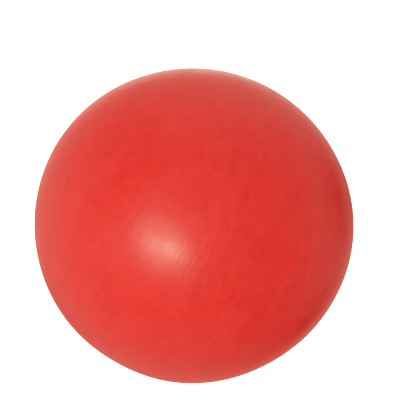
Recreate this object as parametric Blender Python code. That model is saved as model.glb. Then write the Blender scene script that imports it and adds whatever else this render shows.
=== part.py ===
"""Giant latex balloon, full of gas and tied off.

Metres, +Z up. The origin is the centre of the ball, the crown is on +Z, and the neck hangs straight
down from the ball. Each sub-part is one closed solid: the envelope, the neck, the rolled bead round
the mouth, and the cable tie that closes the neck.
"""

import math

import bmesh
import bpy
from mathutils import Vector
from mathutils.geometry import interpolate_bezier

# The ball
INCH = 0.0254
BALL_DIAMETER = 96 * INCH
BALL_RADIUS = BALL_DIAMETER / 2
CROWN_FLATTENING = 0.022
BASE_FLATTENING = 0.010
NECK_DRAW = 0.100
NECK_DRAW_ANGLE = math.radians(11.8)
SHOULDER_ANGLE = math.radians(9)
SKIN = 0.001

# The neck, whose heights are measured down from the end of the ball's shoulder
ROOT_HEIGHT = -1.315
ROOT_RADIUS = 0.0405
TIE_DROP = 0.060
MOUTH_DROP = 0.137
MOUTH_RADIUS = 0.037
CHOKE_RADIUS = 0.0105
CHOKE_HALF_HEIGHT = 0.0068
PLEATS = 10
PLEAT_SHARE = 0.24
GATHERED_WALL = 0.003

# The rolled bead, the cable tie and the gap that touching pieces keep
BEAD_RADIUS = 0.0028
STRAP_WIDTH = 0.0076
STRAP_THICKNESS = 0.0018
HEAD_SIZE = Vector((0.012, 0.008, 0.012))
HEAD_SEAT = 0.0008
HEAD_EDGE = 0.0008
TAIL_LENGTH = 0.016
GAP = 0.0003

# How finely round shapes are divided
SEGMENTS = 4 * PLEATS
ROW_ANGLE = math.radians(9)
SHOULDER_ROWS = 5
BEAD_SIDES = 6

LATEX_RED = (0.72, 0.032, 0.026, 1)
NECK_RED = (0.56, 0.016, 0.014, 1)
NYLON = (0.80, 0.78, 0.71, 1)


def clear_scene():
    for thing in list(bpy.data.objects):
        bpy.data.objects.remove(thing, do_unlink=True)


def material(name, colour, roughness):
    made = bpy.data.materials.new(name)
    made.use_nodes = True
    shader = made.node_tree.nodes["Principled BSDF"]
    shader.inputs["Base Color"].default_value = colour
    shader.inputs["Roughness"].default_value = roughness
    shader.inputs["Metallic"].default_value = 0
    return made


def sub_part(name, bm, finish, parent, height=0.0):
    """Turn a bmesh into a smooth-shaded object at a height on the balloon's axis."""
    mesh = bpy.data.meshes.new(name)
    bm.to_mesh(mesh)
    bm.free()
    mesh.shade_smooth()
    mesh.set_sharp_from_angle(angle=math.radians(40))
    mesh.materials.append(finish)
    thing = bpy.data.objects.new(name, mesh)
    thing.location.z = height
    thing.parent = parent
    bpy.context.collection.objects.link(thing)
    return thing


def tool_block(name, size, place, edge=0.0):
    """A block that a Boolean joins to a sub-part. It isn't a sub-part itself."""
    bm = bmesh.new()
    bmesh.ops.create_cube(bm, size=1)
    bmesh.ops.scale(bm, vec=size, verts=bm.verts)
    if edge:
        bmesh.ops.bevel(bm, geom=bm.edges[:], offset=edge, affect="EDGES")
    bmesh.ops.translate(bm, vec=place, verts=bm.verts)
    mesh = bpy.data.meshes.new(name)
    bm.to_mesh(mesh)
    bm.free()
    block = bpy.data.objects.new(name, mesh)
    block.hide_render = True
    block.display_type = "WIRE"
    bpy.context.collection.objects.link(block)
    return block


def ease(share):
    return share * share * (3 - 2 * share)


def ball_point(angle):
    """A point of the ball's outline. Angle 0 looks down the neck, and pi is the crown."""
    flattening = CROWN_FLATTENING if angle > math.pi / 2 else BASE_FLATTENING
    reach = BALL_RADIUS * (1 - flattening * math.cos(angle) ** 2)
    reach += NECK_DRAW * math.exp(-angle / NECK_DRAW_ANGLE)
    return Vector((reach * math.sin(angle), 0, -reach * math.cos(angle)))


def envelope_outline():
    """The outer side from the crown down to the neck's root, ending in a fillet."""
    rows = round((math.pi - SHOULDER_ANGLE) / ROW_ANGLE)
    points = [ball_point(math.pi - ROW_ANGLE * row) for row in range(rows + 1)]
    shoulder = points[-1]
    root = Vector((ROOT_RADIUS, 0, ROOT_HEIGHT))
    slope = (ball_point(SHOULDER_ANGLE * 0.99) - shoulder).normalized()
    reach = (root - shoulder).length / 2
    fillet = interpolate_bezier(
        shoulder,
        shoulder + slope * reach,
        root + Vector((0, 0, reach * 0.6)),
        root,
        SHOULDER_ROWS + 1,
    )
    return points + fillet[1:]


def build_envelope(finish, parent):
    """Spin the outline into the ball's skin, and give it a wall that is open at the root."""
    bm = bmesh.new()
    line = [bm.verts.new(point) for point in envelope_outline()]
    for above, below in zip(line, line[1:]):
        bm.edges.new((above, below))
    bmesh.ops.spin(
        bm,
        geom=bm.verts[:] + bm.edges[:],
        cent=(0, 0, 0),
        axis=(0, 0, 1),
        angle=math.tau,
        steps=SEGMENTS,
        use_merge=True,
    )
    bmesh.ops.remove_doubles(bm, verts=bm.verts, dist=SKIN / 100)
    bmesh.ops.recalc_face_normals(bm, faces=bm.faces)
    bm.faces.ensure_lookup_table()
    if bm.faces[0].normal.dot(bm.faces[0].calc_center_median()) < 0:
        bmesh.ops.reverse_faces(bm, faces=bm.faces)
    envelope = sub_part("envelope", bm, finish, parent)
    wall = envelope.modifiers.new("wall", "SOLIDIFY")
    wall.thickness = SKIN
    wall.offset = -1
    wall.use_even_offset = True


def pleat_depth(radius):
    """The latex keeps its girth: what the neck loses in radius goes into its pleats' depth."""
    flank = math.pi * ROOT_RADIUS / PLEATS
    half_pitch = math.pi * radius / PLEATS
    depth = math.sqrt(max(0, flank**2 - half_pitch**2)) / 2
    return min(depth, PLEAT_SHARE * radius)


def above_tie(share):
    """Mean radius and drop between the root, share 0, and the top of the choke, share 1."""
    narrow = CHOKE_RADIUS / (1 + PLEAT_SHARE)
    radius = ROOT_RADIUS + (narrow - ROOT_RADIUS) * ease(share**1.5)
    return radius, GAP + (TIE_DROP - CHOKE_HALF_HEIGHT - GAP) * share


def below_tie(share):
    """Mean radius and drop between the foot of the choke, share 0, and the mouth, share 1."""
    narrow = CHOKE_RADIUS / (1 + PLEAT_SHARE)
    radius = narrow + (MOUTH_RADIUS - narrow) * (1 - (1 - share) ** 2.2)
    top = TIE_DROP + CHOKE_HALF_HEIGHT
    return radius, top + (MOUTH_DROP - top) * share


def outer_ring(radius, drop):
    return radius, pleat_depth(radius), drop


def inner_ring(radius, drop):
    """The wall is a skin at the root and the mouth, and thicker where pleats crowd together."""
    crowding = pleat_depth(radius) / pleat_depth(ROOT_RADIUS / 2)
    wall = SKIN + (GATHERED_WALL - SKIN) * min(1, crowding)
    return radius - wall, 0.85 * pleat_depth(radius), drop


def set_ring(verts, ring):
    """Move one loop of the neck to its mean radius, its pleats and its drop."""
    radius, depth, drop = ring
    for vert in verts:
        turn = math.atan2(vert.co.y, vert.co.x)
        reach = radius + depth * math.cos(PLEATS * turn)
        vert.co = (reach * math.cos(turn), reach * math.sin(turn), -drop)


def close_loop(bm, edges, drop):
    """Draw the open end of a pleated tube together into one point on the axis."""
    pulled = bmesh.ops.extrude_edge_only(bm, edges=edges)["geom"]
    verts = [item for item in pulled if isinstance(item, bmesh.types.BMVert)]
    bmesh.ops.pointmerge(bm, verts=verts, merge_co=(0, 0, -drop))


def build_neck(finish, parent):
    """One skin: up inside from the gathered core, over the root, down outside and up the mouth."""
    rings = [inner_ring(*above_tie(share)) for share in (0.85, 0.7, 0.5, 0.25, 0)]
    rings += [outer_ring(*above_tie(share)) for share in (0, 0.2, 0.4, 0.55, 0.7, 0.82, 0.92, 1)]
    rings += [outer_ring(*below_tie(share)) for share in (0, 0.06, 0.15, 0.3, 0.5, 0.75, 1)]
    rings += [inner_ring(*below_tie(share)) for share in (1, 0.7, 0.45, 0.27, 0.15)]
    core_top = above_tie(0.93)[1]
    core_foot = below_tie(0.09)[1]

    bm = bmesh.new()
    made = bmesh.ops.create_circle(bm, cap_ends=False, segments=SEGMENTS, radius=ROOT_RADIUS)
    set_ring(made["verts"], rings[0])
    first_edges = bm.edges[:]
    edges = first_edges
    for ring in rings[1:]:
        pulled = bmesh.ops.extrude_edge_only(bm, edges=edges)["geom"]
        set_ring([item for item in pulled if isinstance(item, bmesh.types.BMVert)], ring)
        edges = [item for item in pulled if isinstance(item, bmesh.types.BMEdge)]
    close_loop(bm, edges, core_foot)
    close_loop(bm, first_edges, core_top)
    bmesh.ops.recalc_face_normals(bm, faces=bm.faces)
    sub_part("neck", bm, finish, parent, ROOT_HEIGHT)


def build_rim_bead(finish, parent):
    """A ring of rolled latex that follows the pleated mouth, its flat top under the neck's edge."""
    half_height = BEAD_RADIUS * math.cos(math.pi / BEAD_SIDES)
    depth = pleat_depth(MOUTH_RADIUS)
    bm = bmesh.new()
    loops = []
    for step in range(SEGMENTS):
        turn = math.tau * step / SEGMENTS
        reach = MOUTH_RADIUS + depth * math.cos(PLEATS * turn)
        slope = -PLEATS * depth * math.sin(PLEATS * turn)
        outward = Vector((math.cos(turn), math.sin(turn), 0))
        along = Vector((-math.sin(turn), math.cos(turn), 0)) * reach + outward * slope
        across = Vector((along.y, -along.x, 0)).normalized()
        loop = []
        for side in range(BEAD_SIDES):
            round_bead = math.tau * side / BEAD_SIDES
            offset = across * BEAD_RADIUS * math.cos(round_bead)
            offset.z = BEAD_RADIUS * math.sin(round_bead)
            loop.append(bm.verts.new(outward * reach + offset))
        for side, vert in enumerate(loop):
            bm.edges.new((vert, loop[(side + 1) % BEAD_SIDES]))
        loops.append(loop)
    for step, loop in enumerate(loops):
        following = loops[(step + 1) % SEGMENTS]
        pair = [
            bm.edges.get((ring[side], ring[(side + 1) % BEAD_SIDES]))
            for ring in (loop, following)
            for side in range(BEAD_SIDES)
        ]
        bmesh.ops.bridge_loops(bm, edges=pair)
    bmesh.ops.recalc_face_normals(bm, faces=bm.faces)
    height = ROOT_HEIGHT - MOUTH_DROP - GAP - half_height
    sub_part("rim_bead", bm, finish, parent, height)


def build_cable_tie(finish, parent):
    """The strap's loop round the choke, with its head on -Y and the trimmed end through the head."""
    inside = CHOKE_RADIUS + GAP
    height = ROOT_HEIGHT - TIE_DROP
    bm = bmesh.new()
    bmesh.ops.create_circle(bm, cap_ends=False, segments=SEGMENTS, radius=inside)
    bmesh.ops.translate(bm, vec=(0, 0, -STRAP_WIDTH / 2), verts=bm.verts)
    pulled = bmesh.ops.extrude_edge_only(bm, edges=bm.edges)["geom"]
    upper = [item for item in pulled if isinstance(item, bmesh.types.BMVert)]
    bmesh.ops.translate(bm, vec=(0, 0, STRAP_WIDTH), verts=upper)
    bmesh.ops.recalc_face_normals(bm, faces=bm.faces)
    bm.faces.ensure_lookup_table()
    if bm.faces[0].normal.dot(bm.faces[0].calc_center_median()) < 0:
        bmesh.ops.reverse_faces(bm, faces=bm.faces)
    tie = sub_part("cable_tie", bm, finish, parent, height)
    strap = tie.modifiers.new("strap", "SOLIDIFY")
    strap.thickness = STRAP_THICKNESS
    strap.offset = 1
    strap.use_even_offset = True

    head_back = inside + HEAD_SEAT
    head_place = Vector((0, -head_back - HEAD_SIZE.y / 2, height))
    head = tool_block("tie_head_shape", HEAD_SIZE, head_place, HEAD_EDGE)
    tail_size = Vector((STRAP_THICKNESS, HEAD_SIZE.y / 2 + TAIL_LENGTH, STRAP_WIDTH))
    tail_place = Vector((-STRAP_THICKNESS, head_place.y - tail_size.y / 2, height))
    tail = tool_block("tie_tail_shape", tail_size, tail_place)
    for shape in (head, tail):
        joined = tie.modifiers.new(shape.name, "BOOLEAN")
        joined.operation = "UNION"
        joined.solver = "EXACT"
        joined.object = shape


def main():
    clear_scene()
    balloon = bpy.data.objects.new("giant_latex_balloon", None)
    bpy.context.collection.objects.link(balloon)
    build_envelope(material("envelope_latex", LATEX_RED, 0.38), balloon)
    build_neck(material("neck_latex", NECK_RED, 0.5), balloon)
    build_rim_bead(material("rim_latex", NECK_RED, 0.48), balloon)
    build_cable_tie(material("tie_nylon", NYLON, 0.42), balloon)


main()
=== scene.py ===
"""Looks of the giant latex balloon: its skin, neck, mouth bead and cable tie, and a pale studio.

Metres, +Z up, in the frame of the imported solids: the origin is the centre of the ball, and the neck
hangs straight down. Sizes come from the frame, the named values and the properties below.
"""

import math
from contextlib import contextmanager

import bmesh
import bpy
from bpy.props import FloatProperty, FloatVectorProperty, IntProperty, PointerProperty
from mathutils import Matrix, Vector
from mathutils.geometry import interpolate_bezier


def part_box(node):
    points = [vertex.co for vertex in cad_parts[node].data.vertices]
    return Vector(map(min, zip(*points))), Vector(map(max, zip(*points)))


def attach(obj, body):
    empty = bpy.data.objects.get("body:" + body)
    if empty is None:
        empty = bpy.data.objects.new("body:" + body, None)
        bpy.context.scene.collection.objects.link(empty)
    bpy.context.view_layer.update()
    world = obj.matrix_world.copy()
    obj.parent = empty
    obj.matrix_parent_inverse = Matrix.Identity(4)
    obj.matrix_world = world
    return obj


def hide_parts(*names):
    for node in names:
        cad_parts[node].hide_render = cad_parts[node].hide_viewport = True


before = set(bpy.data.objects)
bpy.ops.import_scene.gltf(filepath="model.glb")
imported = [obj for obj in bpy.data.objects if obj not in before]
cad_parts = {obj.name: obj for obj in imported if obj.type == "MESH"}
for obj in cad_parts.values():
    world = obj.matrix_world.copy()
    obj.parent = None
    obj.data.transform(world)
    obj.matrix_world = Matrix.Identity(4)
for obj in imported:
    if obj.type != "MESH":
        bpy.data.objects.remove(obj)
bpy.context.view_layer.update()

bl_info = {
    "name": "Giant Latex Balloon",
    "version": (1, 0, 0),
    "blender": (4, 5, 0),
    "location": "3D View > Sidebar > Balloon",
    "description": "Models a giant latex balloon with its neck tied off, and a pale studio round it",
    "category": "Add Mesh",
}

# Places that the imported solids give
ENVELOPE_LOW, ENVELOPE_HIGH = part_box("envelope")
NECK_LOW, NECK_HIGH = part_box("neck")
TIE_LOW, TIE_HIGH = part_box("cable_tie")
BALL_RADIUS = ENVELOPE_HIGH.x
ROOT_HEIGHT = ENVELOPE_LOW.z
ROOT_RADIUS = NECK_HIGH.y
MOUTH_HEIGHT = NECK_LOW.z
TIE_HEIGHT = (TIE_LOW.z + TIE_HIGH.z) / 2
LOOP_RADIUS = TIE_HIGH.x - 0.0018  # the solid's strap is 1.8 mm thick

# The photograph's frame in pixels, and the ball's place in it
FRAME_PIXELS = 416
BALL_CENTRE_PIXEL = (193.85, 224.3)
BALL_RADIUS_PIXELS = 159.6

# Broad swells and flats on the photograph's outline: how far round it, anticlockwise from the
# right, and half width in degrees, height in metres
OUTLINE_SWELLS = (
    (0, 24, 0.0080),
    (105, 26, -0.0035),
    (213, 20, 0.0050),
    (240, 12, -0.0090),
    (263, 13, 0.0050),
    (300, 17, -0.0135),
    (325, 12, -0.0070),
)

# Those on the rest of the ball: longitude, latitude and half width in degrees, height in metres
SWELLS = (
    (95, -20, 24, 0.0060),
    (55, 25, 18, -0.0045),
    (-100, 25, 30, 0.0030),
    (165, -12, 20, -0.0050),
)

# Swells fade on the underside between these heights, as shares of the radius
SWELLS_END, SWELLS_FULL = -0.97, -0.82

# Finer shape of the neck: lengths in metres, turns in radians, the rest as shares
FLUTE_DEPTH = 0.0005  # faint folds where the skin starts to gather
FLUTE_FADE = 0.025  # how far out from the neck they fade
ROOT_DRAW = 0.6  # how straight the ball's skin comes down into the neck
NECK_TAPER = 1.45  # how late the neck narrows towards the tie
MOUTH_FLARE = 2.2  # how early it opens below the tie
FOLD_LIMIT = 0.22  # the deepest fold, against the radius there
FOLD_LOSS = 0.75  # how much of their depth the folds have lost at the mouth
FOLD_LINING = 0.85  # depth of the folds inside the skin, against outside
GATHERED_WALL = 0.0012  # how much thicker the wall is under deep folds
DEEP_FOLD = 0.003  # depth from which a fold counts as deep
MOUTH_SAG = 0.0022  # how far the mouth dips and rises
MOUTH_TWIST = 0.35  # turn of the folds from the tie to the mouth
STRAP_CLEARANCE = 0.0001  # between the latex and the strap round it
STRAP_PINCH = 0.0012  # height above and below the strap over which the latex swells out again

# Rows of the neck's skin, part by part, and how far its hollow ends reach towards the tie
CORE_ROWS, ABOVE_ROWS, CHOKE_ROWS, BELOW_ROWS, LINING_ROWS = 12, 44, 8, 52, 34
CORE_REACH, THROAT_REACH = 0.85, 0.9

# Finer shape of the cable tie: lengths in metres, the rest as shares
LOOP_SEGMENTS = 96
HEAD_SETBACK = 0.0008  # from the inside of the loop to the back of the head
HEAD_ROUNDING = 0.0007
EDGE_ROUNDING = 0.0002
WINDOW_RIM = 0.0016
WINDOW_DEPTH = 0.35  # against the head's
GROOVE = 0.2  # depth and margin of the strap's groove, against its thickness and width
TOOTH_DEPTH = 0.28  # against the strap's thickness
PLAIN_ROWS = 4  # half teeth at the tip that are left out for the slant
PAWL_WIDTH = 0.0030
PAWL_DEPTH = 0.30  # against the head's
PAWL_HEIGHT = 0.55  # against the strap's width
PAWL_ROOT = 0.0002  # how far the pawl reaches into the window's floor
END_SLANT = 0.0012

# Tone curve: the brightness that shows as white, and how bright reds roll off below it
TONE_WHITE = 1.5
TONE_SHOULDER = ((0.30, 0.30), (0.55, 0.55), (0.80, 0.745), (1.00, 0.85), (1.20, 0.92), (1.40, 1.00))

# Soft light all round: heading (right, up and towards the camera), sharpness, strength
SOFT_LIGHTS = (
    ((0, 0, 1), 3.0, 0.65),  # the room in front
    ((-0.4, -0.3, 1), 10.0, 1.00),  # glow round the key
    ((-0.5, 0.2, 0.9), 30.0, 0.40),  # above it
    ((-0.8, -0.2, 0.5), 30.0, 0.40),  # and beside it
    ((-1, 0, 0), 3.0, 0.70),  # left wall
    ((1, 0, 0), 3.0, 0.40),  # right wall
    ((0, -1, 0), 3.0, 0.50),  # pale ground
    ((-0.6, -0.8, 0.2), 8.0, 0.15),  # its palest part, left
    ((0.1, 1, 0), 3.0, 0.68),  # ceiling
    ((0, 0, -1), 6.0, 0.18),  # far wall
    ((0, 0.4, -1), 22.0, 1.10),  # far window
    ((-0.4, 0.2, -0.9), 20.0, 0.14),  # far corner, left
    ((0.4, -0.2, -0.9), 40.0, 0.12),  # far corner, right
    ((0.8, 0.15, -0.55), 24.0, -0.38),  # dark doorway, right
    ((0.4, 0.1, -0.9), 120.0, -0.28),  # its far end
    ((0.6, -0.5, -0.6), 30.0, -0.25),  # dark corner below it
    ((0.4, -0.8, -0.3), 7.0, -0.20),  # darker ground, right
    ((-0.1, 0.9, -0.4), 12.0, -0.10),  # darker ceiling behind
    ((-0.5, -0.3, -0.8), 60.0, -0.18),  # dark corner, left
)
SOFT_COLOUR = (1.0, 0.97, 0.79)
FLOOR_SIZE = 400
FLOOR_GLOW = 1.6

# Lamps: name, place (right, up and towards the camera), width and height, turn, watts, mirrored
LAMPS = (
    ("key_core", (-1.85, -2.15, 7.95), (1.6, 1.3), -30, 57, True),
    ("key_side", (-3.4, -1.6, 7.5), (1.9, 1.6), -30, 32, True),
    ("key_halo", (-2.7, -1.7, 7.7), (6.6, 4.8), -40, 124, True),
    ("back_fill", (0.5, 1.5, -7.5), (5.0, 5.0), 0, 240, False),
    ("back_core", (0.4, 0.9, -8.2), (1.4, 0.9), 0, 30, True),
)
LAMP_COLOUR = (1.0, 0.93, 0.70)


class BallShape(bpy.types.PropertyGroup):
    """Sizes of the envelope."""

    radius: FloatProperty(
        name="Radius", description="Radius at the equator", default=BALL_RADIUS, unit="LENGTH"
    )
    crown_flattening: FloatProperty(
        name="Crown flattening",
        description="Share of the radius that the crown lies below a sphere's",
        default=1 - ENVELOPE_HIGH.z / BALL_RADIUS,
        subtype="FACTOR",
    )
    base_flattening: FloatProperty(
        name="Base flattening",
        description="Share of the radius that the underside lies above a sphere's",
        default=0.010,
        subtype="FACTOR",
    )
    neck_draw: FloatProperty(
        name="Neck draw",
        description="How far the neck draws the underside down",
        default=0.100,
        unit="LENGTH",
    )
    neck_draw_angle: FloatProperty(
        name="Neck draw angle",
        description="Polar angle over which the neck's draw fades",
        default=math.radians(11.8),
        unit="ROTATION",
    )
    shoulder_angle: FloatProperty(
        name="Shoulder angle",
        description="Polar angle at which the ball hands over to the neck's root",
        default=math.radians(9),
        unit="ROTATION",
    )
    skin: FloatProperty(
        name="Skin", description="Thickness of the latex", default=0.001, unit="LENGTH"
    )
    segments: IntProperty(name="Segments", description="Faces round the balloon", default=256)
    rings: IntProperty(name="Rings", description="Rings from pole to pole", default=150)
    root_rows: IntProperty(name="Root rows", description="Rows of the neck's root", default=22)


class NeckShape(bpy.types.PropertyGroup):
    """Sizes of the neck, its folds and its bead."""

    root_radius: FloatProperty(
        name="Root radius", description="Radius at the root", default=ROOT_RADIUS, unit="LENGTH"
    )
    mouth_radius: FloatProperty(
        name="Mouth radius", description="Mean radius of the mouth", default=0.037, unit="LENGTH"
    )
    choke_radius: FloatProperty(
        name="Choke radius",
        description="Mean radius of the gathered latex under the tie",
        default=0.0098,
        unit="LENGTH",
    )
    choke_half_height: FloatProperty(
        name="Choke half height",
        description="Half the height over which the tie holds the neck narrow",
        default=0.0060,
        unit="LENGTH",
    )
    folds: IntProperty(name="Folds", description="Folds gathered under the tie", default=15)
    ruffle: FloatProperty(
        name="Ruffle",
        description="Depth of the broad waves at the mouth",
        default=0.0034,
        unit="LENGTH",
    )
    bead_radius: FloatProperty(
        name="Bead radius",
        description="Radius of the rolled bead",
        default=0.0028,
        unit="LENGTH",
    )


class TieShape(bpy.types.PropertyGroup):
    """Sizes of the cable tie."""

    strap_width: FloatProperty(
        name="Strap width", description="Width of the strap", default=0.0076, unit="LENGTH"
    )
    strap_thickness: FloatProperty(
        name="Strap thickness", description="Thickness of the strap", default=0.0017, unit="LENGTH"
    )
    inside: FloatProperty(
        name="Inside radius",
        description="Radius of the closed loop",
        default=LOOP_RADIUS,
        unit="LENGTH",
    )
    head: FloatVectorProperty(
        name="Head",
        description="Length, depth and height of the head",
        default=(0.012, 0.008, TIE_HIGH.z - TIE_LOW.z),
        subtype="XYZ",
        unit="LENGTH",
    )
    tooth_pitch: FloatProperty(
        name="Tooth pitch", description="Distance between teeth", default=0.0012, unit="LENGTH"
    )


class Finish(bpy.types.PropertyGroup):
    """Colours of the latex and the nylon, and the texture of the skin."""

    red: FloatVectorProperty(
        name="Red", description="Stretched latex", default=(0.67, 0.002, 0.0005), subtype="COLOR"
    )
    deep_red: FloatVectorProperty(
        name="Deep red", description="Thick latex", default=(0.55, 0.006, 0.004), subtype="COLOR"
    )
    crimson: FloatVectorProperty(
        name="Crimson", description="Blotches", default=(0.51, 0.002, 0.001), subtype="COLOR"
    )
    bloom: FloatVectorProperty(
        name="Bloom", description="Powdery bloom", default=(0.68, 0.11, 0.088), subtype="COLOR"
    )
    nylon: FloatVectorProperty(
        name="Nylon", description="Natural nylon", default=(0.80, 0.78, 0.71), subtype="COLOR"
    )
    roughness: FloatProperty(
        name="Roughness", description="Roughness of the latex", default=0.235, subtype="FACTOR"
    )
    ripple_depth: FloatProperty(
        name="Ripple depth", description="Depth of the streaks", default=0.0006, unit="LENGTH"
    )
    edge_glow: FloatVectorProperty(
        name="Edge glow",
        description="Light that thin latex scatters where it is seen edge on",
        default=(1.0, 0.03, 0.02),
        subtype="COLOR",
    )
    edge_glow_weight: FloatProperty(
        name="Edge glow weight", description="How much of it", default=0.75, subtype="FACTOR"
    )
    streak_turn: FloatProperty(
        name="Streak turn",
        description="Turn of the streaks round the axis at the ball's middle",
        default=math.radians(28),
        unit="ROTATION",
    )
    slant: FloatProperty(
        name="Slant",
        description="Turn of the streaks round the axis, for each metre of height",
        default=0.2,
        unit="ROTATION",
    )


class Studio(bpy.types.PropertyGroup):
    """Camera, lights and floor."""

    camera_distance: FloatProperty(
        name="Camera distance", description="From the ball's centre", default=6.0, unit="LENGTH"
    )
    camera_elevation: FloatProperty(
        name="Camera elevation",
        description="Above the horizon",
        default=math.radians(28),
        unit="ROTATION",
    )
    camera_roll: FloatProperty(
        name="Camera roll",
        description="Turns the crown to the right",
        default=math.radians(18),
        unit="ROTATION",
    )
    floor_drop: FloatProperty(
        name="Floor drop", description="Floor below the ball's centre", default=14.0, unit="LENGTH"
    )
    ambient: FloatProperty(
        name="Ambient", description="Light that is the same from all round", default=0.20
    )
    soft_strength: FloatProperty(
        name="Soft strength", description="Scales all the soft light", default=1.06
    )


def ease(share):
    share = max(0.0, min(1.0, share))
    return share * share * (3 - 2 * share)


@contextmanager
def editing(thing):
    """Edit mode on one object, with nothing selected at first."""
    bpy.ops.object.select_all(action="DESELECT")
    bpy.context.view_layer.objects.active = thing
    thing.select_set(True)
    bpy.ops.object.mode_set(mode="EDIT")
    bpy.ops.mesh.select_all(action="DESELECT")
    yield bmesh.from_edit_mesh(thing.data)
    bpy.ops.object.mode_set(mode="OBJECT")


def select_faces(thing, bm, wanted):
    """Select the faces that wanted() picks by their centre and normal."""
    bpy.ops.mesh.select_mode(type="FACE")
    for face in bm.faces:
        face.select_set(wanted(face.calc_center_median(), face.normal))
    bmesh.update_edit_mesh(thing.data)


def select_edges(thing, bm, wanted):
    """Select the edges that wanted() picks."""
    bpy.ops.mesh.select_mode(type="EDGE")
    for edge in bm.edges:
        edge.select_set(wanted(edge))
    bmesh.update_edit_mesh(thing.data)


def lay_selected_loop(thing, bm, place):
    """Put each selected vertex where place() says for its turn round the axis."""
    for vert in bm.verts:
        if vert.select:
            vert.co = place(math.atan2(vert.co.y, vert.co.x))
    bmesh.update_edit_mesh(thing.data)


def apply_modifier(thing, kind, **settings):
    """Add a modifier with these settings and apply it."""
    bpy.ops.object.select_all(action="DESELECT")
    bpy.context.view_layer.objects.active = thing
    thing.select_set(True)
    modifier = thing.modifiers.new(kind.lower(), kind)
    for name, value in settings.items():
        setattr(modifier, name, value)
    bpy.ops.object.modifier_apply(modifier=modifier.name)


def finish_piece(thing, name, material, node, crease=35):
    """Name, shade and colour a piece, and let it stand for its CAD node."""
    bpy.ops.object.select_all(action="DESELECT")
    bpy.context.view_layer.objects.active = thing
    thing.select_set(True)
    bpy.ops.object.transform_apply(location=True, rotation=True, scale=True)
    bpy.ops.object.shade_smooth_by_angle(angle=math.radians(crease))
    thing.name = name
    thing.data.name = name
    thing.data.materials.clear()
    thing.data.materials.append(material)
    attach(thing, "root")
    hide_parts(node)


def round_place(radius, turn, height):
    return Vector((radius * math.cos(turn), radius * math.sin(turn), height))


def camera_turning(studio):
    """The picture's right, up and towards the camera, leaning so that the crown is on the right."""
    level, rise = math.cos(studio.camera_elevation), math.sin(studio.camera_elevation)
    upright = Vector((0, -level, rise)).to_track_quat("Z", "Y").to_matrix()
    return upright @ Matrix.Rotation(studio.camera_roll, 3, "Z")


def fold_wave(turn, folds):
    """Gathered folds from -1 to 1: round ridges with sharp valleys, uneven in width and height."""
    wander = turn + 0.09 * math.sin(2 * turn + 0.6) + 0.05 * math.sin(5 * turn + 2.1)
    ridge = 2 * math.sqrt(math.cos(folds * wander / 2) ** 2 + 0.01) - 1.28
    return ridge * (0.85 + 0.15 * math.sin(3 * turn + 1.0) + 0.10 * math.sin(7 * turn + 0.3))


def ruffle_wave(turn):
    """Broad waves of the open mouth."""
    return 0.55 * math.sin(3 * turn + 0.5) + 0.65 * math.sin(5 * turn + 2.4)


def root_flute(turn, neck):
    """Where the skin starts to gather, the folds are only faint flutes."""
    return FLUTE_DEPTH * fold_wave(turn, neck.folds)


def neck_place(row, ball, neck, tie):
    """Where one row of the neck's skin lies, as a function of the turn round the axis."""
    part, side, share = row
    choke_top = TIE_HEIGHT + neck.choke_half_height
    choke_foot = TIE_HEIGHT - neck.choke_half_height
    girth = neck.root_radius
    ruffle = sag = twist = 0
    if part == "above":
        radius = girth + (neck.choke_radius - girth) * ease(share**NECK_TAPER)
        height = ROOT_HEIGHT + (choke_top - ROOT_HEIGHT) * share
    elif part == "choke":
        radius = neck.choke_radius
        height = choke_top + (choke_foot - choke_top) * share
    else:
        flare = 1 - (1 - share) ** MOUTH_FLARE
        radius = neck.choke_radius + (neck.mouth_radius - neck.choke_radius) * flare
        height = choke_foot + (MOUTH_HEIGHT - choke_foot) * share
        ruffle = neck.ruffle * ease(share * 1.1)
        sag = MOUTH_SAG * ease(share)
        twist = MOUTH_TWIST * share

    # Folds take up the girth that the narrow neck leaves over
    flank = math.pi * girth / neck.folds
    half_pitch = math.pi * radius / neck.folds
    depth = min(math.sqrt(max(0, flank**2 - half_pitch**2)) / 2, FOLD_LIMIT * radius)
    if part == "below":
        depth *= 1 - FOLD_LOSS * ease(share)
    wall = 0
    if side == "inner":
        wall = ball.skin + GATHERED_WALL * min(1, depth / DEEP_FOLD)
        depth *= FOLD_LINING
    squeeze = 1 - ease((abs(height - TIE_HEIGHT) - tie.strap_width / 2) / STRAP_PINCH)

    def place(turn):
        lift = depth * fold_wave(turn + twist, neck.folds) + ruffle * ruffle_wave(turn)
        if part == "above":
            lift += root_flute(turn, neck) * (1 - ease(share * 6))
        reach = radius - wall + lift
        if squeeze > 0:
            reach -= squeeze * max(0, reach - (tie.inside - STRAP_CLEARANCE))
        return round_place(reach, turn, height + sag * math.sin(3 * turn + 1.1))

    return place


def bead_section(neck, turn, around):
    """Radius of the rolled bead: creased along its upper outside, and slightly uneven."""
    crease = math.exp(-(((around - 0.9) / 0.28) ** 2))
    return neck.bead_radius * (1 - 0.13 * crease + 0.03 * math.sin(9 * turn + around))


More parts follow.
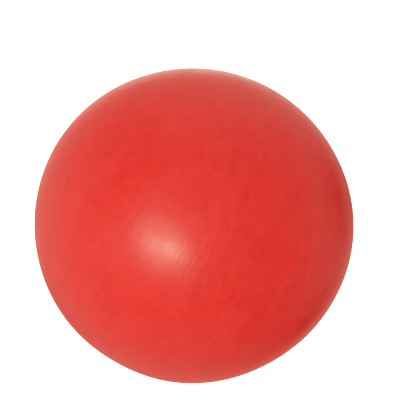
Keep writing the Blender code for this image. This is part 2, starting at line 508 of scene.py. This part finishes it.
class BALLOON_OT_envelope(bpy.types.Operator):
    """Model the latex ball from its crown down to the neck's root"""

    bl_idname = "balloon.envelope"
    bl_label = "Envelope"

    def execute(self, context):
        ball = context.scene.balloon_ball
        neck = context.scene.balloon_neck
        bpy.ops.object.select_all(action="DESELECT")
        bpy.ops.mesh.primitive_uv_sphere_add(
            segments=ball.segments, ring_count=ball.rings, radius=ball.radius, location=(0, 0, 0)
        )
        skin = context.active_object
        self.draw_to_outline(skin, ball)
        self.draw_out_root(skin, ball, neck)
        self.swell(skin, camera_turning(context.scene.balloon_studio))
        apply_modifier(skin, "SOLIDIFY", thickness=ball.skin, offset=-1, use_even_offset=True)
        material = latex_material(
            "stretched_latex", context.scene.balloon_finish, ball.radius
        )
        finish_piece(skin, "envelope_skin", material, "envelope")
        return {"FINISHED"}

    @staticmethod
    def outline_point(ball, angle):
        """Radius and height at a polar angle, which is 0 down the neck and pi at the crown."""
        flattening = ball.crown_flattening if angle > math.pi / 2 else ball.base_flattening
        reach = ball.radius * (1 - flattening * math.cos(angle) ** 2)
        reach += ball.neck_draw * math.exp(-angle / ball.neck_draw_angle)
        return Vector((reach * math.sin(angle), 0, -reach * math.cos(angle)))

    def draw_to_outline(self, skin, ball):
        """Flatten the sphere at its crown and draw its underside down."""
        for vert in skin.data.vertices:
            angle = math.acos(max(-1, min(1, -vert.co.z / vert.co.length)))
            vert.co *= self.outline_point(ball, angle).length / vert.co.length

    def draw_out_root(self, skin, ball, neck):
        """Open the underside and pull its edge down in rows into the neck's root."""
        shoulder = self.outline_point(ball, ball.shoulder_angle)
        slope = (self.outline_point(ball, ball.shoulder_angle * 0.99) - shoulder).normalized()
        root = Vector((neck.root_radius, 0, ROOT_HEIGHT))
        reach = (root - shoulder).length / 2
        rows = interpolate_bezier(
            shoulder,
            shoulder + slope * reach,
            root + Vector((0, 0, reach * ROOT_DRAW)),
            root,
            ball.root_rows + 1,
        )[1:]
        open_below = -math.cos(ball.shoulder_angle)
        with editing(skin) as bm:
            select_faces(skin, bm, lambda centre, _: centre.normalized().z < open_below)
            bpy.ops.mesh.delete(type="FACE")
            bm = bmesh.from_edit_mesh(skin.data)
            select_edges(skin, bm, lambda edge: edge.is_boundary)
            for row in rows:
                bpy.ops.mesh.extrude_edges_move()
                bm = bmesh.from_edit_mesh(skin.data)
                fade = math.exp(-(row.x - neck.root_radius) / FLUTE_FADE)

                def place(turn, row=row, fade=fade):
                    return round_place(row.x + fade * root_flute(turn, neck), turn, row.z)

                lay_selected_loop(skin, bm, place)

    @staticmethod
    def swell(skin, view):
        """Add the broad swells and flats, which fade towards the neck."""
        swells = []
        for angle, width, height in OUTLINE_SWELLS:
            heading = view @ round_place(1, math.radians(angle), 0)
            swells.append((heading, math.radians(width), height))
        for longitude, latitude, width, height in SWELLS:
            level = math.cos(math.radians(latitude))
            heading = round_place(level, math.radians(longitude), math.sin(math.radians(latitude)))
            swells.append((heading, math.radians(width), height))
        for vert in skin.data.vertices:
            out = vert.co.normalized()
            keep = ease((out.z - SWELLS_END) / (SWELLS_FULL - SWELLS_END))
            rise = sum(
                height * math.exp(-((out.angle(heading) / width) ** 2))
                for heading, width, height in swells
            )
            vert.co += out * rise * keep


class BALLOON_OT_neck(bpy.types.Operator):
    """Model the neck: gathered into folds under the tie, and ruffled at the mouth"""

    bl_idname = "balloon.neck"
    bl_label = "Neck"

    def execute(self, context):
        ball = context.scene.balloon_ball
        neck = context.scene.balloon_neck
        tie = context.scene.balloon_tie
        bpy.ops.object.select_all(action="DESELECT")
        bpy.ops.mesh.primitive_circle_add(
            vertices=ball.segments, radius=neck.root_radius, fill_type="NOTHING",
            location=(0, 0, 0),
        )
        skin = context.active_object
        rows = self.rows()
        with editing(skin) as bm:
            select_edges(skin, bm, lambda edge: True)
            lay_selected_loop(skin, bm, neck_place(rows[0], ball, neck, tie))
            for row in rows[1:]:
                bpy.ops.mesh.extrude_edges_move()
                bm = bmesh.from_edit_mesh(skin.data)
                lay_selected_loop(skin, bm, neck_place(row, ball, neck, tie))
            for closing in (False, True):
                if closing:
                    bm = bmesh.from_edit_mesh(skin.data)
                    select_edges(skin, bm, lambda edge: edge.is_boundary)
                bpy.ops.mesh.extrude_edges_move()
                bpy.ops.mesh.merge(type="CENTER")
            bpy.ops.mesh.select_all(action="SELECT")
            bpy.ops.mesh.normals_make_consistent(inside=False)
        material = latex_material("neck_latex", context.scene.balloon_finish, ball.radius)
        finish_piece(skin, "neck_skin", material, "neck", crease=60)
        return {"FINISHED"}

    @staticmethod
    def rows():
        """(part, side, share) of every row, from the gathered core up, over and down the skin."""
        return (
            [("above", "inner", CORE_REACH * (1 - step / CORE_ROWS)) for step in range(CORE_ROWS + 1)]
            + [("above", "outer", step / ABOVE_ROWS) for step in range(ABOVE_ROWS + 1)]
            + [("choke", "outer", step / CHOKE_ROWS) for step in range(1, CHOKE_ROWS)]
            + [("below", "outer", step / BELOW_ROWS) for step in range(BELOW_ROWS + 1)]
            + [
                ("below", "inner", 1 - THROAT_REACH * step / LINING_ROWS)
                for step in range(LINING_ROWS + 1)
            ]
        )


class BALLOON_OT_rim_bead(bpy.types.Operator):
    """Model the rolled bead that follows the ruffled mouth"""

    bl_idname = "balloon.rim_bead"
    bl_label = "Rim bead"

    def execute(self, context):
        ball = context.scene.balloon_ball
        neck = context.scene.balloon_neck
        tie = context.scene.balloon_tie
        mouth = neck_place(("below", "outer", 1.0), ball, neck, tie)
        bpy.ops.object.select_all(action="DESELECT")
        bpy.ops.mesh.primitive_torus_add(
            major_segments=ball.segments,
            minor_segments=20,
            major_radius=neck.mouth_radius,
            minor_radius=neck.bead_radius,
            location=(0, 0, 0),
        )
        bead = context.active_object
        for vert in bead.data.vertices:
            turn = math.atan2(vert.co.y, vert.co.x)
            outward = math.hypot(vert.co.x, vert.co.y) - neck.mouth_radius
            around = math.atan2(vert.co.z, outward)
            along = (mouth(turn + 0.01) - mouth(turn - 0.01)).normalized()
            across = along.cross(Vector((0, 0, 1))).normalized()
            upward = across.cross(along).normalized()
            reach = bead_section(neck, turn, around)
            centre = mouth(turn) - across * ball.skin / 2 - upward * neck.bead_radius * 0.98
            vert.co = centre + across * reach * math.cos(around) + upward * reach * math.sin(around)
        material = latex_material("bead_latex", context.scene.balloon_finish, ball.radius)
        finish_piece(bead, "rim_bead_roll", material, "rim_bead", crease=60)
        return {"FINISHED"}


class BALLOON_OT_cable_tie(bpy.types.Operator):
    """Model the cable tie: grooved strap, head with its window, and the trimmed toothed end"""

    bl_idname = "balloon.cable_tie"
    bl_label = "Cable tie"

    def execute(self, context):
        tie = context.scene.balloon_tie
        strap = self.strap(context, tie)
        head = self.head(context, tie)
        tail = self.tail(context, tie)
        pawl = self.pawl(context, tie)
        for piece in (head, tail, pawl):
            apply_modifier(strap, "BOOLEAN", operation="UNION", solver="EXACT", object=piece)
            bpy.data.objects.remove(piece)
        material = nylon_material("natural_nylon", context.scene.balloon_finish)
        finish_piece(strap, "cable_tie_moulding", material, "cable_tie", crease=30)
        return {"FINISHED"}

    @staticmethod
    def strap(context, tie):
        """The closed loop, with a shallow groove round its outside."""
        bpy.ops.object.select_all(action="DESELECT")
        bpy.ops.mesh.primitive_circle_add(
            vertices=LOOP_SEGMENTS,
            radius=tie.inside,
            fill_type="NOTHING",
            location=(0, 0, TIE_HEIGHT - tie.strap_width / 2),
        )
        strap = context.active_object
        with editing(strap) as bm:
            select_edges(strap, bm, lambda edge: True)
            bpy.ops.mesh.extrude_edges_move(
                TRANSFORM_OT_translate={"value": (0, 0, tie.strap_width)}
            )
            bpy.ops.mesh.select_all(action="SELECT")
            bpy.ops.mesh.normals_make_consistent(inside=False)
        outer_face = strap.data.polygons[0]
        facing = 1 if outer_face.normal.dot(Vector((*outer_face.center[:2], 0))) > 0 else -1
        apply_modifier(
            strap, "SOLIDIFY", thickness=tie.strap_thickness, offset=facing, use_even_offset=True
        )
        with editing(strap) as bm:
            bpy.ops.mesh.select_all(action="SELECT")
            bpy.ops.mesh.normals_make_consistent(inside=False)

            def outside(centre, normal):
                return normal.x * centre.x + normal.y * centre.y > 0.5 * centre.xy.length

            select_faces(strap, bm, outside)
            bpy.ops.mesh.inset(thickness=tie.strap_width * GROOVE)
            bpy.ops.transform.shrink_fatten(value=-tie.strap_thickness * GROOVE)
        apply_modifier(strap, "BEVEL", width=EDGE_ROUNDING, segments=2, limit_method="ANGLE")
        return strap

    @staticmethod
    def block(context, size, place):
        bpy.ops.object.select_all(action="DESELECT")
        bpy.ops.mesh.primitive_cube_add(size=1, location=place, scale=size)
        bpy.ops.object.transform_apply(location=False, rotation=False, scale=True)
        return context.active_object

    def head(self, context, tie):
        """The head on -Y, with rounded edges and the window that the strap's end comes out of."""
        size = Vector(tie.head)
        back = tie.inside + HEAD_SETBACK
        head = self.block(context, size, (0, -back - size.y / 2, TIE_HEIGHT))
        with editing(head) as bm:
            select_faces(head, bm, lambda centre, normal: normal.y < -0.9)
            bpy.ops.mesh.inset(thickness=WINDOW_RIM)
            bpy.ops.mesh.extrude_region_move(
                TRANSFORM_OT_translate={"value": (0, size.y * WINDOW_DEPTH, 0)}
            )
        apply_modifier(head, "BEVEL", width=HEAD_ROUNDING, segments=3, limit_method="ANGLE")
        return head

    def tail(self, context, tie):
        """The trimmed end through the head, toothed on one side and cut off at a slant."""
        size = Vector(tie.head)
        start = -(tie.inside + HEAD_SETBACK + size.y * 0.3)
        length = start - TIE_LOW.y
        teeth = int(length / tie.tooth_pitch)
        tail = self.block(
            context,
            (tie.strap_thickness, length, tie.strap_width),
            (-tie.strap_thickness, start - length / 2, TIE_HEIGHT),
        )
        with editing(tail) as bm:
            select_edges(
                tail, bm, lambda edge: abs((edge.verts[0].co - edge.verts[1].co).y) > length / 2
            )
            bpy.ops.mesh.subdivide(number_cuts=2 * teeth - 1)
            bm = bmesh.from_edit_mesh(tail.data)
            step = length / (2 * teeth)
            for vert in bm.verts:
                row = round((vert.co.y + length / 2) / step)
                if vert.co.x < 0 and row % 2 == 1 and row > PLAIN_ROWS:
                    vert.co.x += tie.strap_thickness * TOOTH_DEPTH
                if vert.co.z > 0:
                    vert.co.y += END_SLANT * max(0, 1 - row / PLAIN_ROWS)
            bmesh.update_edit_mesh(tail.data)
        return tail

    def pawl(self, context, tie):
        """The tongue in the window, whose sloping face holds the strap's teeth."""
        size = Vector(tie.head)
        depth = size.y * PAWL_DEPTH
        floor = -(tie.inside + HEAD_SETBACK + size.y * (1 - WINDOW_DEPTH))
        pawl = self.block(
            context,
            (PAWL_WIDTH, depth, tie.strap_width * PAWL_HEIGHT),
            (
                tie.strap_thickness * 0.1 + PAWL_WIDTH / 2,
                floor - depth / 2 + PAWL_ROOT,
                TIE_HEIGHT,
            ),
        )
        with editing(pawl) as bm:
            select_faces(pawl, bm, lambda centre, normal: normal.y < -0.9)
            for vert in bm.verts:
                if vert.select and vert.co.x > 0:
                    vert.co.y += depth * 0.6
            bmesh.update_edit_mesh(pawl.data)
        apply_modifier(pawl, "BEVEL", width=EDGE_ROUNDING, segments=2, limit_method="ANGLE")
        return pawl


def add_node(tree, kind, **settings):
    node = tree.nodes.new(kind)
    for name, value in settings.items():
        setattr(node, name, value)
    return node


def set_inputs(node, **values):
    for name, value in values.items():
        node.inputs[name.replace("_", " ")].default_value = value
    return node


def calculate(tree, operation, *operands):
    """A Math node whose operands are sockets or numbers."""
    node = add_node(tree, "ShaderNodeMath", operation=operation)
    for place, operand in enumerate(operands):
        if isinstance(operand, (int, float)):
            node.inputs[place].default_value = operand
        else:
            tree.links.new(operand, node.inputs[place])
    return node.outputs["Value"]


def remap(tree, value, low, high, to_low, to_high):
    """Smoothly turn the range low to high into to_low to to_high."""
    node = add_node(tree, "ShaderNodeMapRange", interpolation_type="SMOOTHSTEP")
    tree.links.new(value, node.inputs["Value"])
    for name, number in (
        ("From Min", low), ("From Max", high), ("To Min", to_low), ("To Max", to_high)
    ):
        node.inputs[name].default_value = number
    return node.outputs["Result"]


def noise(tree, vector, scale, detail=2.0, roughness=0.5, distortion=0.0):
    node = add_node(tree, "ShaderNodeTexNoise")
    tree.links.new(vector, node.inputs["Vector"])
    set_inputs(node, Scale=scale, Detail=detail, Roughness=roughness, Distortion=distortion)
    return node.outputs["Fac"]


def blend_colour(tree, share, first, second):
    """A Mix node of two colours, which are sockets or values."""
    node = add_node(tree, "ShaderNodeMix", data_type="RGBA")
    tree.links.new(share, node.inputs["Factor"])
    for name, colour in (("A", first), ("B", second)):
        socket = next(s for s in node.inputs if s.name == name and s.type == "RGBA")
        if isinstance(colour, bpy.types.NodeSocket):
            tree.links.new(colour, socket)
        else:
            socket.default_value = (*colour, 1)
    return next(s for s in node.outputs if s.type == "RGBA")


def vector_math(tree, operation, first, second=None, scale=None):
    """A Vector Math node on sockets or fixed vectors."""
    node = add_node(tree, "ShaderNodeVectorMath", operation=operation)
    for place, operand in enumerate((first, second)):
        if isinstance(operand, bpy.types.NodeSocket):
            tree.links.new(operand, node.inputs[place])
        elif operand is not None:
            node.inputs[place].default_value = operand
    if scale is not None:
        node.inputs["Scale"].default_value = scale
    return node.outputs["Vector"]


def wandering(tree, point, scale, reach):
    """The point, pushed about by up to half this reach, so that patterns on it aren't ruled lines."""
    node = add_node(tree, "ShaderNodeTexNoise")
    tree.links.new(point, node.inputs["Vector"])
    set_inputs(node, Scale=scale, Detail=2.0)
    push = vector_math(tree, "SUBTRACT", node.outputs["Color"], (0.5, 0.5, 0.5))
    return vector_math(tree, "ADD", point, vector_math(tree, "SCALE", push, scale=reach))


def slanted(tree, point, height, slant, start):
    """The point, turned round the axis by start and by this slant for each metre of height."""
    node = add_node(tree, "ShaderNodeVectorRotate", rotation_type="Z_AXIS")
    tree.links.new(point, node.inputs["Vector"])
    tree.links.new(calculate(tree, "MULTIPLY_ADD", height, slant, start), node.inputs["Angle"])
    return node.outputs["Vector"]


def meridians(tree, point, drop, across, along):
    """Coordinates for noise that is drawn out into streaks from the crown to the neck."""
    level = vector_math(tree, "MULTIPLY", point, (1, 1, 0))
    outward = vector_math(tree, "NORMALIZE", level)
    spread = vector_math(tree, "SCALE", outward, scale=across)
    fall = add_node(tree, "ShaderNodeCombineXYZ")
    tree.links.new(calculate(tree, "MULTIPLY", drop, along), fall.inputs["Z"])
    return vector_math(tree, "ADD", spread, fall.outputs["Vector"])


def latex_material(name, finish, radius):
    """Latex: streaks from crown to neck and cloudy bloom where it is stretched, deeper where thick."""
    material = bpy.data.materials.new(name)
    material.use_nodes = True
    tree = material.node_tree
    shader = tree.nodes["Principled BSDF"]
    place = add_node(tree, "ShaderNodeTexCoord").outputs["Object"]
    split = add_node(tree, "ShaderNodeSeparateXYZ")
    tree.links.new(place, split.inputs["Vector"])
    height = split.outputs["Z"]

    # How far the latex is from fully stretched, at the crown and towards the neck
    slack = remap(tree, height, -radius * 0.93, -radius * 1.09, 0, 1)
    crown = remap(tree, height, radius * 0.925, radius * 0.975, 0, 1)
    thick = calculate(tree, "MULTIPLY_ADD", crown, 0.22, slack)

    # Streaks run down the ball, and lie closer together down the neck
    bent = wandering(tree, wandering(tree, place, 2.2, 0.16), 7.0, 0.03)
    bent = slanted(tree, bent, height, -finish.slant, finish.streak_turn)
    drop = calculate(tree, "MULTIPLY_ADD", slack, -0.9, height)
    broad = noise(tree, meridians(tree, bent, drop, 5.0, 1.1), 1.0, detail=3, roughness=0.6)
    streaks = noise(tree, meridians(tree, bent, drop, 17, 2.2), 1.0, detail=3, roughness=0.62)
    strokes = noise(tree, meridians(tree, bent, drop, 34, 8.5), 1.0, detail=3, roughness=0.6)
    ripples = noise(tree, meridians(tree, bent, drop, 60, 7.0), 1.0, detail=2, roughness=0.5)
    strands = noise(tree, meridians(tree, bent, drop, 30, 1.1), 1.0, detail=1, roughness=0.4)

    # Clouds of bloom, blotches of shorter stretch, and where the strokes show at all: unstretched
    # latex is smooth
    taut = calculate(tree, "MULTIPLY_ADD", slack, -0.85, 1.0)
    clouds = noise(tree, place, 1.9, detail=4, roughness=0.58, distortion=0.5)
    blotches = noise(tree, place, 6.5, detail=4, roughness=0.62)
    mottle = noise(tree, place, 24, detail=3, roughness=0.6)
    off_pole = remap(tree, height, radius * 0.97, radius * 0.86, 0, 1)
    stroked = remap(tree, noise(tree, place, 2.1, detail=2), 0.40, 0.62, 0.25, 1)
    stroked = calculate(tree, "MULTIPLY", calculate(tree, "MULTIPLY", stroked, off_pole), taut)
    pale_strokes = calculate(tree, "MULTIPLY", remap(tree, strokes, 0.54, 0.72, 0, 1), stroked)
    deep_strokes = calculate(tree, "MULTIPLY", remap(tree, strokes, 0.46, 0.28, 0, 1), stroked)
    strands = calculate(tree, "MULTIPLY", remap(tree, strands, 0.70, 0.80, 0, 1), off_pole)
    strands = calculate(tree, "MULTIPLY", strands, taut)

    body = blend_colour(tree, thick, tuple(finish.red), tuple(finish.deep_red))
    tone = remap(tree, blotches, 0.36, 0.66, 0, 0.21)
    tone = calculate(tree, "ADD", tone, remap(tree, mottle, 0.60, 0.38, 0, 0.14))
    tone = calculate(tree, "MULTIPLY_ADD", deep_strokes, 0.5, tone)
    body = blend_colour(tree, tone, body, tuple(finish.crimson))
    bloom = remap(tree, clouds, 0.36, 0.68, 0.0, 0.036)
    bloom = calculate(tree, "ADD", bloom, remap(tree, broad, 0.42, 0.70, 0.0, 0.022))
    streaky = calculate(tree, "MULTIPLY", remap(tree, streaks, 0.45, 0.75, 0.0, 0.038), taut)
    bloom = calculate(tree, "ADD", bloom, streaky)
    bloom = calculate(tree, "ADD", bloom, remap(tree, mottle, 0.40, 0.72, 0.0, 0.040))
    bloom = calculate(tree, "ADD", bloom, remap(tree, blotches, 0.36, 0.66, 0.016, -0.024))
    bloom = calculate(tree, "MULTIPLY_ADD", pale_strokes, 0.045, bloom)
    bloom = calculate(tree, "MULTIPLY_ADD", deep_strokes, -0.055, bloom)
    bloom = calculate(tree, "MULTIPLY_ADD", strands, 0.042, bloom)
    bloom = calculate(tree, "MULTIPLY_ADD", crown, 0.03, bloom)
    bloom = calculate(tree, "MAXIMUM", bloom, 0.0)
    colour = blend_colour(tree, bloom, body, tuple(finish.bloom))
    tree.links.new(colour, shader.inputs["Base Color"])

    rough = calculate(tree, "ADD", remap(tree, clouds, 0.3, 0.7, -0.03, 0.05), finish.roughness)
    rough = calculate(tree, "ADD", rough, remap(tree, streaks, 0.35, 0.7, -0.02, 0.035))
    rough = calculate(tree, "MULTIPLY_ADD", slack, 0.06, rough)
    tree.links.new(rough, shader.inputs["Roughness"])
    set_inputs(shader, Sheen_Weight=finish.edge_glow_weight, Sheen_Roughness=0.4)
    set_inputs(shader, Sheen_Tint=(*finish.edge_glow, 1))

    grain = noise(tree, place, 210, detail=2)
    relief = calculate(tree, "MULTIPLY", ripples, calculate(tree, "MULTIPLY", stroked, 0.6))
    relief = calculate(
        tree, "MULTIPLY_ADD", streaks, calculate(tree, "MULTIPLY", taut, 2.6), relief
    )
    relief = calculate(tree, "MULTIPLY_ADD", pale_strokes, 0.6, relief)
    relief = calculate(tree, "MULTIPLY_ADD", strands, 0.35, relief)
    relief = calculate(tree, "MULTIPLY_ADD", grain, 0.06, relief)
    bump = add_node(tree, "ShaderNodeBump")
    set_inputs(bump, Strength=1.0, Distance=finish.ripple_depth)
    tree.links.new(relief, bump.inputs["Height"])
    tree.links.new(bump.outputs["Normal"], shader.inputs["Normal"])
    return material


def nylon_material(name, finish):
    """Natural nylon: milky, satin, with a faint moulding texture."""
    material = bpy.data.materials.new(name)
    material.use_nodes = True
    tree = material.node_tree
    shader = tree.nodes["Principled BSDF"]
    place = add_node(tree, "ShaderNodeTexCoord").outputs["Object"]
    milk = noise(tree, place, 160, detail=3)
    yellow = tuple(channel * tint for channel, tint in zip(finish.nylon, (0.95, 0.92, 0.84)))
    colour = blend_colour(tree, remap(tree, milk, 0.3, 0.7, 0, 1), tuple(finish.nylon), yellow)
    tree.links.new(colour, shader.inputs["Base Color"])
    rough = remap(tree, noise(tree, place, 700, detail=2), 0.3, 0.7, 0.36, 0.5)
    tree.links.new(rough, shader.inputs["Roughness"])
    shader.inputs["Subsurface Weight"].default_value = 0.25
    shader.inputs["Subsurface Radius"].default_value = (1.0, 0.9, 0.7)
    shader.inputs["Subsurface Scale"].default_value = 0.002
    bump = add_node(tree, "ShaderNodeBump")
    set_inputs(bump, Strength=0.3, Distance=0.00005)
    tree.links.new(noise(tree, place, 1400, detail=2), bump.inputs["Height"])
    tree.links.new(bump.outputs["Normal"], shader.inputs["Normal"])
    return material


class BALLOON_OT_stage(bpy.types.Operator):
    """Set up the floor, the lights and the camera at the photograph's angle"""

    bl_idname = "balloon.stage"
    bl_label = "Stage"

    def execute(self, context):
        studio = context.scene.balloon_studio
        ball = context.scene.balloon_ball
        view = self.camera(context, studio, ball)
        self.floor(context, studio)
        self.lights(context, view)
        self.surroundings(context, studio, view)
        self.tone_curve(context)
        return {"FINISHED"}

    @staticmethod
    def tone_curve(context):
        """Plain colours with a soft shoulder, as a photograph's bright reds have."""
        settings = context.scene.view_settings
        settings.view_transform = "Standard"
        settings.use_curve_mapping = True
        curves = settings.curve_mapping
        curves.white_level = (TONE_WHITE,) * 3
        curves.extend = "HORIZONTAL"
        points = curves.curves[3].points
        points[-1].location = (1, 1)
        for bright, shown in TONE_SHOULDER:
            points.new(bright / TONE_WHITE, shown)
        curves.update()

    @staticmethod
    def camera(context, studio, ball):
        """Look down at the ball from the photograph's angle. Returns the camera's turning."""
        view = camera_turning(studio)
        place = view.col[2] * studio.camera_distance
        bpy.ops.object.camera_add(location=place)
        camera = context.active_object
        camera.matrix_world = Matrix.Translation(place) @ view.to_4x4()
        outline = math.tan(math.asin(ball.radius / studio.camera_distance))
        half_frame = outline * (FRAME_PIXELS / 2) / BALL_RADIUS_PIXELS
        camera.data.lens = camera.data.sensor_width / 2 / half_frame
        camera.data.shift_x = (FRAME_PIXELS / 2 - BALL_CENTRE_PIXEL[0]) / FRAME_PIXELS
        camera.data.shift_y = (BALL_CENTRE_PIXEL[1] - FRAME_PIXELS / 2) / FRAME_PIXELS
        camera.data.clip_end = FLOOR_SIZE
        context.scene.camera = camera
        return view

    @staticmethod
    def floor(context, studio):
        bpy.ops.object.select_all(action="DESELECT")
        bpy.ops.mesh.primitive_plane_add(size=FLOOR_SIZE, location=(0, 0, -studio.floor_drop))
        floor = context.active_object
        floor.name = "floor"
        material = bpy.data.materials.new("pale_floor")
        material.use_nodes = True
        shader = material.node_tree.nodes["Principled BSDF"]
        shader.inputs["Base Color"].default_value = (0.9, 0.9, 0.9, 1)
        shader.inputs["Roughness"].default_value = 0.9
        shader.inputs["Emission Color"].default_value = (1, 1, 1, 1)
        shader.inputs["Emission Strength"].default_value = FLOOR_GLOW
        floor.data.materials.append(material)
        floor.visible_glossy = False
        floor.visible_diffuse = False

    @staticmethod
    def soft_light(context, name, view, place, size, turn):
        """An oval soft light that faces the ball's centre, turned in the camera's view."""
        facing = place.normalized()
        across = Vector((math.cos(turn), math.sin(turn), 0))
        across = (across - facing * across.dot(facing)).normalized()
        axes = Matrix((across, facing.cross(across), facing)).transposed()
        bpy.ops.object.light_add(type="AREA")
        lamp = context.active_object
        lamp.name = name
        lamp.data.shape = "ELLIPSE"
        lamp.data.size, lamp.data.size_y = size
        lamp.data.color = LAMP_COLOUR
        lamp.matrix_world = Matrix.Translation(view @ place) @ (view @ axes).to_4x4()
        lamp.visible_camera = False
        return lamp

    def lights(self, context, view):
        for name, place, size, turn, watts, mirrored in LAMPS:
            lamp = self.soft_light(context, name, view, Vector(place), size, math.radians(turn))
            lamp.data.energy = watts
            lamp.visible_glossy = mirrored

    @staticmethod
    def surroundings(context, studio, view):
        """White to the camera, and broad soft light from all round."""
        world = bpy.data.worlds.new("studio")
        context.scene.world = world
        world.use_nodes = True
        tree = world.node_tree
        tree.nodes.clear()
        heading = add_node(tree, "ShaderNodeTexCoord").outputs["Generated"]
        total = studio.ambient
        for place, sharpness, strength in SOFT_LIGHTS:
            facing = add_node(tree, "ShaderNodeVectorMath", operation="DOT_PRODUCT")
            tree.links.new(heading, facing.inputs[0])
            facing.inputs[1].default_value = (view @ Vector(place)).normalized()
            falloff = calculate(
                tree, "MULTIPLY_ADD", facing.outputs["Value"], sharpness, -sharpness
            )
            glow = calculate(tree, "EXPONENT", falloff)
            total = calculate(tree, "MULTIPLY_ADD", glow, strength, total)
        total = calculate(tree, "MAXIMUM", total, 0.0)
        lighting = add_node(tree, "ShaderNodeBackground")
        set_inputs(lighting, Color=(*SOFT_COLOUR, 1))
        tree.links.new(
            calculate(tree, "MULTIPLY", total, studio.soft_strength), lighting.inputs["Strength"]
        )
        seen = add_node(tree, "ShaderNodeBackground")
        set_inputs(seen, Color=(1, 1, 1, 1), Strength=TONE_WHITE)
        mix = add_node(tree, "ShaderNodeMixShader")
        path = add_node(tree, "ShaderNodeLightPath")
        tree.links.new(path.outputs["Is Camera Ray"], mix.inputs["Fac"])
        tree.links.new(lighting.outputs["Background"], mix.inputs[1])
        tree.links.new(seen.outputs["Background"], mix.inputs[2])
        output = add_node(tree, "ShaderNodeOutputWorld")
        tree.links.new(mix.outputs["Shader"], output.inputs["Surface"])


class BALLOON_PT_panel(bpy.types.Panel):
    """Lists the balloon's pieces and the stage."""

    bl_label = "Giant latex balloon"
    bl_idname = "BALLOON_PT_panel"
    bl_space_type = "VIEW_3D"
    bl_region_type = "UI"
    bl_category = "Balloon"

    def draw(self, context):
        groups = (
            ("balloon_ball", (BALLOON_OT_envelope,)),
            ("balloon_neck", (BALLOON_OT_neck, BALLOON_OT_rim_bead)),
            ("balloon_tie", (BALLOON_OT_cable_tie,)),
            ("balloon_finish", ()),
            ("balloon_studio", (BALLOON_OT_stage,)),
        )
        for name, operators in groups:
            box = self.layout.box()
            group = getattr(context.scene, name)
            for key in group.__annotations__:
                box.prop(group, key)
            for operator in operators:
                box.operator(operator.bl_idname)


GROUPS = {
    "balloon_ball": BallShape,
    "balloon_neck": NeckShape,
    "balloon_tie": TieShape,
    "balloon_finish": Finish,
    "balloon_studio": Studio,
}
OPERATORS = (
    BALLOON_OT_envelope,
    BALLOON_OT_neck,
    BALLOON_OT_rim_bead,
    BALLOON_OT_cable_tie,
    BALLOON_OT_stage,
)


def register():
    for name, group in GROUPS.items():
        bpy.utils.register_class(group)
        setattr(bpy.types.Scene, name, PointerProperty(type=group))
    for operator in OPERATORS:
        bpy.utils.register_class(operator)
    bpy.utils.register_class(BALLOON_PT_panel)


def unregister():
    bpy.utils.unregister_class(BALLOON_PT_panel)
    for operator in reversed(OPERATORS):
        bpy.utils.unregister_class(operator)
    for name, group in reversed(GROUPS.items()):
        delattr(bpy.types.Scene, name)
        bpy.utils.unregister_class(group)


def main():
    register()
    bpy.ops.balloon.envelope()
    bpy.ops.balloon.neck()
    bpy.ops.balloon.rim_bead()
    bpy.ops.balloon.cable_tie()
    bpy.ops.balloon.stage()


if __name__ == "__main__":
    main()
